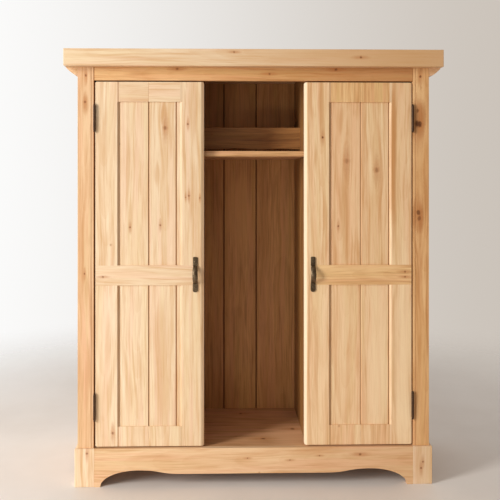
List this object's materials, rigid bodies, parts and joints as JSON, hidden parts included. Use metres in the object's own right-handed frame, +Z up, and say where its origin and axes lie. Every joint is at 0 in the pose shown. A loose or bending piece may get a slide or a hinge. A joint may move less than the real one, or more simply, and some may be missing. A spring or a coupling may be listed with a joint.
{
  "type": "wardrobe with doors",
  "caption": "Free-standing framed wooden wardrobe with boarded side doors on hinges, an open middle bay with a high shelf, a deep plain cornice and a shaped plinth.",
  "frame": {"origin": "on the floor, midway between the two sides and midway between the front of the cornice and the back", "axes": "+Z up; the front with the doors faces -Y; +X to the right of someone facing the front"},
  "size_m": [1.646, 0.59, 1.9],
  "materials": {
    "pine": "satin lacquer over honey-coloured knotty pine",
    "inner_pine": "thin satin lacquer, darker than the outside",
    "handle_iron": "dark pewter, worn brighter on the grip",
    "hinge_iron": "dark bronze",
    "fitting_steel": "dull nickel",
    "catch_plastic": "brown, matt"
  },
  "bodies": {
    "carcass": {"back_boards": "inner_pine", "back_rails": "inner_pine", "bottom_board": "inner_pine", "centre_shelf": "inner_pine", "cornice_front": "pine", "cornice_left": "pine", "cornice_mouldings": "pine", "cornice_right": "pine", "front_post_left": "pine", "front_post_right": "pine", "front_top_rail": "pine", "hanging_rails": "inner_pine", "hinge_pins": "hinge_iron", "magnetic_catches": "catch_plastic", "partition_left": "inner_pine", "partition_right": "inner_pine", "plinth_bearers": "inner_pine", "plinth_blocks": "pine", "plinth_front": "pine", "plinth_rear": "inner_pine", "plinth_side_left": "pine", "plinth_side_right": "pine", "post_hinge_leaves": "hinge_iron", "post_hinge_screws": "hinge_iron", "rail_sockets": "fitting_steel", "rear_post_left": "pine", "rear_post_right": "pine", "shelf_battens": "inner_pine", "shelf_upstand": "inner_pine", "side_boards_left": "pine", "side_boards_right": "pine", "side_rails_left": "pine", "side_rails_right": "pine", "side_shelves": "inner_pine", "top_board": "pine"},
    "left_door": {"left_door_bottom_rail": "pine", "left_door_handle": "handle_iron", "left_door_hinge_leaves": "hinge_iron", "left_door_hinge_screws": "hinge_iron", "left_door_lower_boards": "pine", "left_door_mid_rail": "pine", "left_door_strike": "fitting_steel", "left_door_top_rail": "pine", "left_door_upper_boards": "pine", "left_handle_screws": "handle_iron", "left_hinge_stile": "pine", "left_lock_stile": "pine"},
    "right_door": {"right_door_bottom_rail": "pine", "right_door_handle": "handle_iron", "right_door_hinge_leaves": "hinge_iron", "right_door_hinge_screws": "hinge_iron", "right_door_lower_boards": "pine", "right_door_mid_rail": "pine", "right_door_strike": "fitting_steel", "right_door_top_rail": "pine", "right_door_upper_boards": "pine", "right_handle_screws": "handle_iron", "right_hinge_stile": "pine", "right_lock_stile": "pine"}
  },
  "joints": [
    {"name": "left_door_hinge", "type": "hinge", "parent": "carcass", "child": "left_door", "pos_m": [-0.696, -0.2615, 0.966], "axis": [0, 0, -1], "range_deg": [0, 170]},
    {"name": "right_door_hinge", "type": "hinge", "parent": "carcass", "child": "right_door", "pos_m": [0.696, -0.2615, 0.966], "axis": [0, 0, 1], "range_deg": [0, 170]}
  ]
}
